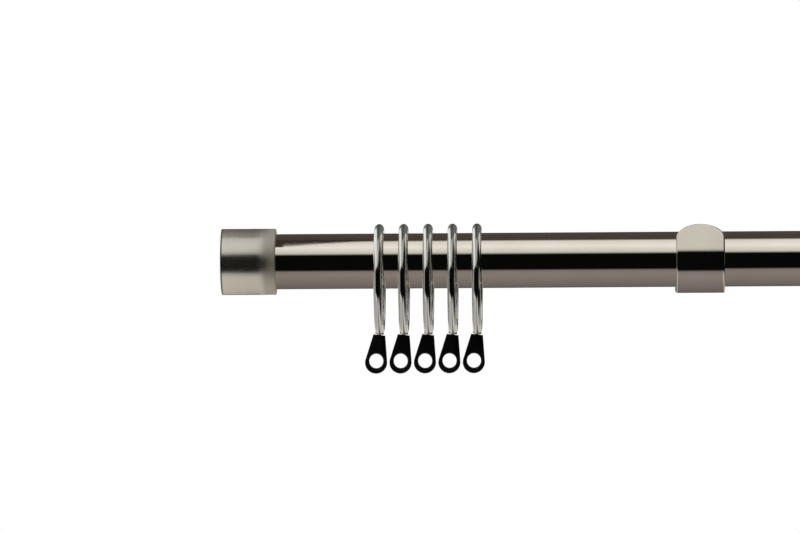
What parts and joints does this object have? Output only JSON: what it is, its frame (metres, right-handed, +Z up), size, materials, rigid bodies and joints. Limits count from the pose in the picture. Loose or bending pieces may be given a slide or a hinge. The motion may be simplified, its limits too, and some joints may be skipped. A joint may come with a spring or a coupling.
{
  "type": "curtain rod with brackets",
  "caption": "Metal curtain pole with barrel end caps, wire rings with swivelling eyelets, and wall brackets whose straps hook up the pole's front.",
  "frame": {"origin": "on the wall plane, midway between the two brackets, level with the pole's axis", "axes": "+X along the pole to the right as seen from the room, +Y into the wall, +Z up"},
  "size_m": [1.2138, 0.139, 0.0759],
  "materials": {
    "pole_metal": "polished nickel",
    "bracket_metal": "polished nickel",
    "cap_metal": "satin nickel, fine turned grain",
    "ring_metal": "polished nickel",
    "black_nylon": "moulded, semi-gloss",
    "white_nylon": "moulded, matt",
    "zinc_steel": "zinc plated"
  },
  "bodies": {
    "wall_brackets": {"bracket_strap_left": "bracket_metal", "wall_plate_left": "zinc_steel", "flange_bolt_left": "zinc_steel", "wall_screw_upper_left": "zinc_steel", "wall_screw_lower_left": "zinc_steel", "lock_screw_left": "zinc_steel", "bracket_strap_right": "bracket_metal", "wall_plate_right": "zinc_steel", "flange_bolt_right": "zinc_steel", "wall_screw_upper_right": "zinc_steel", "wall_screw_lower_right": "zinc_steel", "lock_screw_right": "zinc_steel"},
    "pole": {"pole": "pole_metal"},
    "cap_left": {"cap_left": "cap_metal", "cap_plug_left": "white_nylon", "cap_screw_left": "zinc_steel"},
    "ring_left_1": {"ring_left_1": "ring_metal"},
    "eyelet_left_1": {"eyelet_left_1": "black_nylon"},
    "ring_left_2": {"ring_left_2": "ring_metal"},
    "eyelet_left_2": {"eyelet_left_2": "black_nylon"},
    "ring_left_3": {"ring_left_3": "ring_metal"},
    "eyelet_left_3": {"eyelet_left_3": "black_nylon"},
    "ring_left_4": {"ring_left_4": "ring_metal"},
    "eyelet_left_4": {"eyelet_left_4": "black_nylon"},
    "ring_left_5": {"ring_left_5": "ring_metal"},
    "eyelet_left_5": {"eyelet_left_5": "black_nylon"},
    "cap_right": {"cap_right": "cap_metal", "cap_plug_right": "white_nylon", "cap_screw_right": "zinc_steel"},
    "ring_right_1": {"ring_right_1": "ring_metal"},
    "eyelet_right_1": {"eyelet_right_1": "black_nylon"},
    "ring_right_2": {"ring_right_2": "ring_metal"},
    "eyelet_right_2": {"eyelet_right_2": "black_nylon"},
    "ring_right_3": {"ring_right_3": "ring_metal"},
    "eyelet_right_3": {"eyelet_right_3": "black_nylon"},
    "ring_right_4": {"ring_right_4": "ring_metal"},
    "eyelet_right_4": {"eyelet_right_4": "black_nylon"},
    "ring_right_5": {"ring_right_5": "ring_metal"},
    "eyelet_right_5": {"eyelet_right_5": "black_nylon"}
  },
  "joints": [
    {"name": "pole_lift_out", "type": "slide", "parent": "wall_brackets", "child": "pole", "axis": [0, 0.2924, 0.9563], "range_m": [0, 0.045]},
    {"name": "cap_left_pull", "type": "slide", "parent": "pole", "child": "cap_left", "axis": [-1, 0, 0], "range_m": [0, 0.03]},
    {"name": "ring_left_1_slide", "type": "slide", "parent": "pole", "child": "ring_left_1", "axis": [1, 0, 0], "range_m": [-0.049, 0.01]},
    {"name": "eyelet_left_1_swivel", "type": "hinge", "parent": "ring_left_1", "child": "eyelet_left_1", "pos_m": [-0.5268, -0.08, -0.03495], "axis": [0.1219, 0, 0.9925], "continuous": true},
    {"name": "ring_left_2_slide", "type": "slide", "parent": "ring_left_1", "child": "ring_left_2", "axis": [1, 0, 0], "range_m": [-0.0008, 0.0218]},
    {"name": "eyelet_left_2_swivel", "type": "hinge", "parent": "ring_left_2", "child": "eyelet_left_2", "pos_m": [-0.5144, -0.08, -0.03495], "axis": [0.1219, 0, 0.9925], "continuous": true},
    {"name": "ring_left_3_slide", "type": "slide", "parent": "ring_left_2", "child": "ring_left_3", "axis": [1, 0, 0], "range_m": [-0.0008, 0.0218]},
    {"name": "eyelet_left_3_swivel", "type": "hinge", "parent": "ring_left_3", "child": "eyelet_left_3", "pos_m": [-0.502, -0.08, -0.03495], "axis": [0.1219, 0, 0.9925], "continuous": true},
    {"name": "ring_left_4_slide", "type": "slide", "parent": "ring_left_3", "child": "ring_left_4", "axis": [1, 0, 0], "range_m": [-0.0008, 0.0218]},
    {"name": "eyelet_left_4_swivel", "type": "hinge", "parent": "ring_left_4", "child": "eyelet_left_4", "pos_m": [-0.4896, -0.08, -0.03495], "axis": [0.1219, 0, 0.9925], "continuous": true},
    {"name": "ring_left_5_slide", "type": "slide", "parent": "ring_left_4", "child": "ring_left_5", "axis": [1, 0, 0], "range_m": [-0.0008, 0.0218]},
    {"name": "eyelet_left_5_swivel", "type": "hinge", "parent": "ring_left_5", "child": "eyelet_left_5", "pos_m": [-0.4772, -0.08, -0.03495], "axis": [0.1219, 0, 0.9925], "continuous": true},
    {"name": "cap_right_pull", "type": "slide", "parent": "pole", "child": "cap_right", "axis": [1, 0, 0], "range_m": [0, 0.03]},
    {"name": "ring_right_1_slide", "type": "slide", "parent": "pole", "child": "ring_right_1", "axis": [-1, 0, 0], "range_m": [-0.049, 0.01]},
    {"name": "eyelet_right_1_swivel", "type": "hinge", "parent": "ring_right_1", "child": "eyelet_right_1", "pos_m": [0.5268, -0.08, -0.03495], "axis": [-0.1219, 0, 0.9925], "continuous": true},
    {"name": "ring_right_2_slide", "type": "slide", "parent": "ring_right_1", "child": "ring_right_2", "axis": [-1, 0, 0], "range_m": [-0.0008, 0.0218]},
    {"name": "eyelet_right_2_swivel", "type": "hinge", "parent": "ring_right_2", "child": "eyelet_right_2", "pos_m": [0.5144, -0.08, -0.03495], "axis": [-0.1219, 0, 0.9925], "continuous": true},
    {"name": "ring_right_3_slide", "type": "slide", "parent": "ring_right_2", "child": "ring_right_3", "axis": [-1, 0, 0], "range_m": [-0.0008, 0.0218]},
    {"name": "eyelet_right_3_swivel", "type": "hinge", "parent": "ring_right_3", "child": "eyelet_right_3", "pos_m": [0.502, -0.08, -0.03495], "axis": [-0.1219, 0, 0.9925], "continuous": true},
    {"name": "ring_right_4_slide", "type": "slide", "parent": "ring_right_3", "child": "ring_right_4", "axis": [-1, 0, 0], "range_m": [-0.0008, 0.0218]},
    {"name": "eyelet_right_4_swivel", "type": "hinge", "parent": "ring_right_4", "child": "eyelet_right_4", "pos_m": [0.4896, -0.08, -0.03495], "axis": [-0.1219, 0, 0.9925], "continuous": true},
    {"name": "ring_right_5_slide", "type": "slide", "parent": "ring_right_4", "child": "ring_right_5", "axis": [-1, 0, 0], "range_m": [-0.0008, 0.0218]},
    {"name": "eyelet_right_5_swivel", "type": "hinge", "parent": "ring_right_5", "child": "eyelet_right_5", "pos_m": [0.4772, -0.08, -0.03495], "axis": [-0.1219, 0, 0.9925], "continuous": true}
  ]
}
